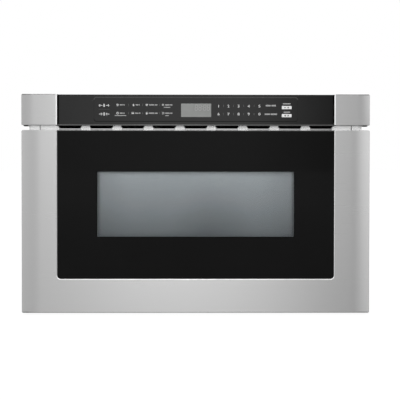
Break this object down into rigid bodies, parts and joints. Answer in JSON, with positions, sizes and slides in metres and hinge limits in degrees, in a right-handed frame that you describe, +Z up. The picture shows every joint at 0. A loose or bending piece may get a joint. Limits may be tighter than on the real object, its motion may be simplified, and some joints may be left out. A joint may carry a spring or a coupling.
{
  "type": "microwave drawer",
  "caption": "Built-in microwave drawer: a stainless front with a black glass window pane and a touch panel above, on telescopic slides with a motor-driven rack.",
  "frame": {"origin": "middle of the shelf that the cabinet stands on, under the middle of the object's box", "axes": "+Z up, -Y out of the front, +X to the right seen from the front"},
  "size_m": [0.6064, 0.59, 0.384],
  "materials": {
    "stainless": "fine horizontal brushing",
    "galvanised": "galvanised sheet",
    "enamel": "grey oven enamel",
    "slide_steel": "zinc-plated",
    "black_glass": "polished, black-printed",
    "clear_glass": "polished",
    "display_lens": "smoked",
    "black_plastic": "moulded",
    "grey_plastic": "moulded",
    "white_plastic": "moulded",
    "screen_metal": "perforated screen",
    "ceramic": "glazed",
    "mica": "pressed mica sheet",
    "rubber": "moulded",
    "circuit_board": "solder mask",
    "core_steel": "varnished laminations",
    "fin_metal": "pressed"
  },
  "bodies": {
    "cabinet": {"base_pan": "galvanised", "outer_cover": "galvanised", "rear_panel": "galvanised", "front_flange": "stainless", "vent_grille": "stainless", "exhaust_duct": "black_plastic", "oven_cavity": "enamel", "stirrer_cover": "mica", "cavity_lamp": "white_plastic", "waveguide": "galvanised", "magnetron": "fin_metal", "transformer": "core_steel", "capacitor": "fin_metal", "stirrer_motor": "galvanised", "fan_shroud": "black_plastic", "fan_motor": "black_plastic", "cord_gland": "black_plastic", "line_filter": "circuit_board", "motor_bracket": "galvanised", "drive_motor": "black_plastic", "slide_bracket_left": "galvanised", "slide_bracket_right": "galvanised", "slide_outer_left": "slide_steel", "slide_outer_right": "slide_steel", "interlock_switches": "white_plastic", "end_cap_left": "stainless", "end_cap_right": "stainless", "control_housing": "black_plastic", "control_glass": "black_glass", "display_window": "display_lens", "display_module": "black_plastic", "touch_board": "circuit_board", "control_board": "circuit_board", "case_screws": "slide_steel"},
    "drawer": {"slide_inner_left": "slide_steel", "slide_inner_right": "slide_steel", "carriage_rail_left": "galvanised", "carriage_rail_right": "galvanised", "rack": "white_plastic", "drawer_front_shell": "stainless", "glass_top_trim": "stainless", "door_glass": "black_glass", "glass_carrier": "black_plastic", "window_screen": "screen_metal", "inner_window": "clear_glass", "choke_pan": "galvanised", "choke_cover": "black_plastic", "door_inner_panel": "galvanised", "latch_hooks": "white_plastic", "bumpers": "rubber", "drawer_tub": "enamel", "ceramic_tray": "ceramic"},
    "slide_middles": {"slide_middle_left": "slide_steel", "slide_middle_right": "slide_steel"},
    "outer_cages": {"ball_cages_outer": "slide_steel"},
    "inner_cages": {"ball_cages_inner": "slide_steel"},
    "pinion": {"drive_pinion": "white_plastic"},
    "stirrer": {"stirrer_blade": "fin_metal"},
    "fan": {"fan_rotor": "grey_plastic"}
  },
  "joints": [
    {"name": "drawer_slide", "type": "slide", "parent": "cabinet", "child": "drawer", "axis": [0, -1, 0], "range_m": [0, 0.38]},
    {"name": "middle_slide", "type": "slide", "parent": "cabinet", "child": "slide_middles", "axis": [0, -1, 0], "range_m": [0, 0.19]},
    {"name": "outer_cage_slide", "type": "slide", "parent": "cabinet", "child": "outer_cages", "axis": [0, -1, 0], "range_m": [0, 0.095]},
    {"name": "inner_cage_slide", "type": "slide", "parent": "cabinet", "child": "inner_cages", "axis": [0, -1, 0], "range_m": [0, 0.285]},
    {"name": "pinion_spin", "type": "hinge", "parent": "cabinet", "child": "pinion", "pos_m": [0, -0.215, 0.02888], "axis": [-1, 0, 0], "range_deg": [0, 1614]},
    {"name": "stirrer_spin", "type": "hinge", "parent": "cabinet", "child": "stirrer", "pos_m": [0, -0.05175, 0.25], "axis": [0, 0, 1], "continuous": true},
    {"name": "fan_spin", "type": "hinge", "parent": "cabinet", "child": "fan", "pos_m": [-0.16, 0.2702, 0.205], "axis": [0, -1, 0], "continuous": true}
  ],
  "couplings": [
    {"joint": "middle_slide", "follows": "drawer_slide", "ratio": 0.5},
    {"joint": "outer_cage_slide", "follows": "drawer_slide", "ratio": 0.25},
    {"joint": "inner_cage_slide", "follows": "drawer_slide", "ratio": 0.75},
    {"joint": "pinion_spin", "follows": "drawer_slide", "rad_per_m": 74.074}
  ]
}
